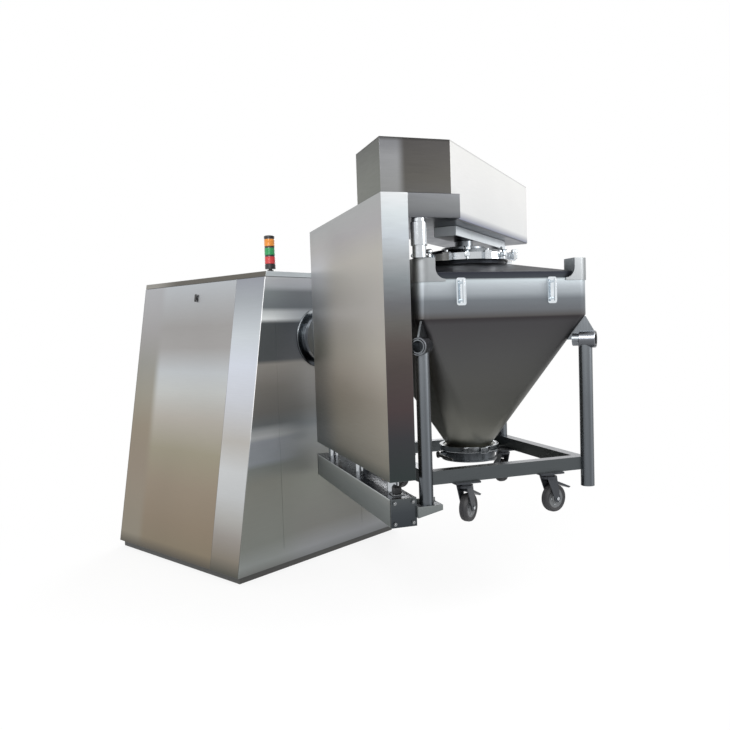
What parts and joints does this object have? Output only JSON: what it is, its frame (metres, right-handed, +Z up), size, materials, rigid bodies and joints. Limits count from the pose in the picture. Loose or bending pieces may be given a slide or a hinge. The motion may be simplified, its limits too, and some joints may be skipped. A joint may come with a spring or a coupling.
{
  "type": "bin blender",
  "caption": "Bin blender: leaning cabinet whose shaft turns a skewed wall with a lifting carriage, top arm and a wheeled hopper bin clamped in it.",
  "frame": {"origin": "on the floor, at the centre of the cabinet's four anchor holes", "axes": "+X along the main shaft towards the bin, +Z up, +Y to the right of someone looking along +X from the operator's side"},
  "size_m": [3.4772, 1.7715, 2.5313],
  "materials": {
    "brushed_cover": "satin",
    "polished_cover": "polished",
    "bin_steel": "satin",
    "pipe_steel": "satin",
    "bright_steel": "polished",
    "frame_paint": "satin",
    "machine_paint": "satin",
    "bearing_iron": "rough",
    "bronze": "satin",
    "seal_rubber": "matt",
    "caster_steel": "satin",
    "tyre_black": "matt",
    "panel_plastic": "matt",
    "tower_black": "satin",
    "lens_red": "clear",
    "lens_green": "clear",
    "lens_amber": "clear",
    "button_red": "gloss"
  },
  "bodies": {
    "cabinet": {"cabinet_frame": "frame_paint", "front_panel": "polished_cover", "corner_cover": "brushed_cover", "far_side_panel": "brushed_cover", "rear_panel": "brushed_cover", "roof_panel": "brushed_cover", "operator_panel": "panel_plastic", "signal_housing": "tower_black", "red_lens": "lens_red", "green_lens": "lens_green", "amber_lens": "lens_amber", "shaft_bearings": "bearing_iron", "seal_ring": "seal_rubber", "gearbox": "machine_paint", "drive_motor": "machine_paint", "hydraulic_unit": "machine_paint", "control_box": "panel_plastic"},
    "access_door": {"access_panel": "brushed_cover"},
    "door_lock": {"panel_lock": "tower_black"},
    "stop_button": {"emergency_stop": "button_red"},
    "rotor": {"main_shaft": "bright_steel", "hub": "brushed_cover", "wall_casing": "brushed_cover", "wall_end_cover": "brushed_cover", "wall_frame": "frame_paint", "guide_bushes": "bronze", "lift_cylinder": "machine_paint", "top_arm": "brushed_cover", "top_hood": "brushed_cover", "corner_clamps": "pipe_steel", "press_beam": "polished_cover", "press_pad": "seal_rubber"},
    "carriage": {"lift_rods": "bright_steel", "carriage_beam": "brushed_cover", "beam_end_plates": "brushed_cover", "foot_brackets": "brushed_cover"},
    "bin": {"bin_shell": "bin_steel", "corner_ears": "bin_steel", "grab_handles": "bright_steel", "bin_frame": "pipe_steel", "lid_gasket": "seal_rubber", "charging_lid": "bin_steel", "lid_clamp_ring": "pipe_steel", "valve_body": "pipe_steel", "outlet_clamp": "bright_steel", "caster_plates": "caster_steel"},
    "valve": {"valve_disc": "bright_steel", "valve_lever": "tower_black"},
    "front_left_swivel": {"front_left_fork": "caster_steel"},
    "front_left_roller": {"front_left_wheel": "tyre_black"},
    "front_left_brake": {"front_left_pedal": "caster_steel"},
    "front_right_swivel": {"front_right_fork": "caster_steel"},
    "front_right_roller": {"front_right_wheel": "tyre_black"},
    "front_right_brake": {"front_right_pedal": "caster_steel"},
    "rear_left_swivel": {"rear_left_fork": "caster_steel"},
    "rear_left_roller": {"rear_left_wheel": "tyre_black"},
    "rear_left_brake": {"rear_left_pedal": "caster_steel"},
    "rear_right_swivel": {"rear_right_fork": "caster_steel"},
    "rear_right_roller": {"rear_right_wheel": "tyre_black"},
    "rear_right_brake": {"rear_right_pedal": "caster_steel"}
  },
  "joints": [
    {"name": "rotor_spin", "type": "hinge", "parent": "cabinet", "child": "rotor", "pos_m": [0, 0, 1.55], "axis": [1, 0, 0], "continuous": true},
    {"name": "carriage_lift", "type": "slide", "parent": "rotor", "child": "carriage", "axis": [0, 0, 1], "range_m": [-0.56, 0]},
    {"name": "bin_roll_out", "type": "slide", "parent": "carriage", "child": "bin", "axis": [0.5, 0.866, 0], "range_m": [0, 1.3]},
    {"name": "valve_turn", "type": "hinge", "parent": "bin", "child": "valve", "pos_m": [1.96722, 0, 0.8547], "axis": [0.5, 0.866, 0], "range_deg": [0, 90]},
    {"name": "panel_lift_off", "type": "slide", "parent": "cabinet", "child": "access_door", "axis": [0, -0.9859, 0.1676], "range_m": [0, 0.45]},
    {"name": "lock_turn", "type": "hinge", "parent": "access_door", "child": "door_lock", "pos_m": [-0.025, -0.4738, 1.86], "axis": [0, -0.9859, 0.1676], "range_deg": [0, 90]},
    {"name": "stop_press", "type": "slide", "parent": "cabinet", "child": "stop_button", "axis": [1, 0, 0], "range_m": [0, 0.006], "stiffness_N_per_m": 1500},
    {"name": "front_left_swivel_turn", "type": "hinge", "parent": "bin", "child": "front_left_swivel", "pos_m": [2.23194, -0.44151, 0.77], "axis": [0, 0, 1], "continuous": true},
    {"name": "front_left_roll", "type": "hinge", "parent": "front_left_swivel", "child": "front_left_roller", "pos_m": [2.22665, -0.40388, 0.645], "axis": [-0.9903, -0.1392, 0], "continuous": true},
    {"name": "front_left_brake_press", "type": "hinge", "parent": "front_left_swivel", "child": "front_left_brake", "pos_m": [2.22748, -0.40982, 0.736], "axis": [-0.9903, -0.1392, 0], "range_deg": [-12, 0]},
    {"name": "front_right_swivel_turn", "type": "hinge", "parent": "bin", "child": "front_right_swivel", "pos_m": [2.48194, -0.00849, 0.77], "axis": [0, 0, 1], "continuous": true},
    {"name": "front_right_roll", "type": "hinge", "parent": "front_right_swivel", "child": "front_right_roller", "pos_m": [2.49241, 0.02803, 0.645], "axis": [-0.9613, 0.2756, 0], "continuous": true},
    {"name": "front_right_brake_press", "type": "hinge", "parent": "front_right_swivel", "child": "front_right_brake", "pos_m": [2.49076, 0.02227, 0.736], "axis": [-0.9613, 0.2756, 0], "range_deg": [-12, 0]},
    {"name": "rear_left_swivel_turn", "type": "hinge", "parent": "bin", "child": "rear_left_swivel", "pos_m": [1.45251, 0.00849, 0.77], "axis": [0, 0, 1], "continuous": true},
    {"name": "rear_left_roll", "type": "hinge", "parent": "rear_left_swivel", "child": "rear_left_roller", "pos_m": [1.41509, 0.01509, 0.645], "axis": [-0.1736, -0.9848, 0], "continuous": true},
    {"name": "rear_left_brake_press", "type": "hinge", "parent": "rear_left_swivel", "child": "rear_left_brake", "pos_m": [1.421, 0.01405, 0.736], "axis": [-0.1736, -0.9848, 0], "range_deg": [-12, 0]},
    {"name": "rear_right_swivel_turn", "type": "hinge", "parent": "bin", "child": "rear_right_swivel", "pos_m": [1.8901, 0.50641, 0.77], "axis": [0, 0, 1], "continuous": true},
    {"name": "rear_right_roll", "type": "hinge", "parent": "rear_right_swivel", "child": "rear_right_roller", "pos_m": [1.85719, 0.52541, 0.645], "axis": [-0.5, -0.866, 0], "continuous": true},
    {"name": "rear_right_brake_press", "type": "hinge", "parent": "rear_right_swivel", "child": "rear_right_brake", "pos_m": [1.86238, 0.52241, 0.736], "axis": [-0.5, -0.866, 0], "range_deg": [-12, 0]}
  ]
}
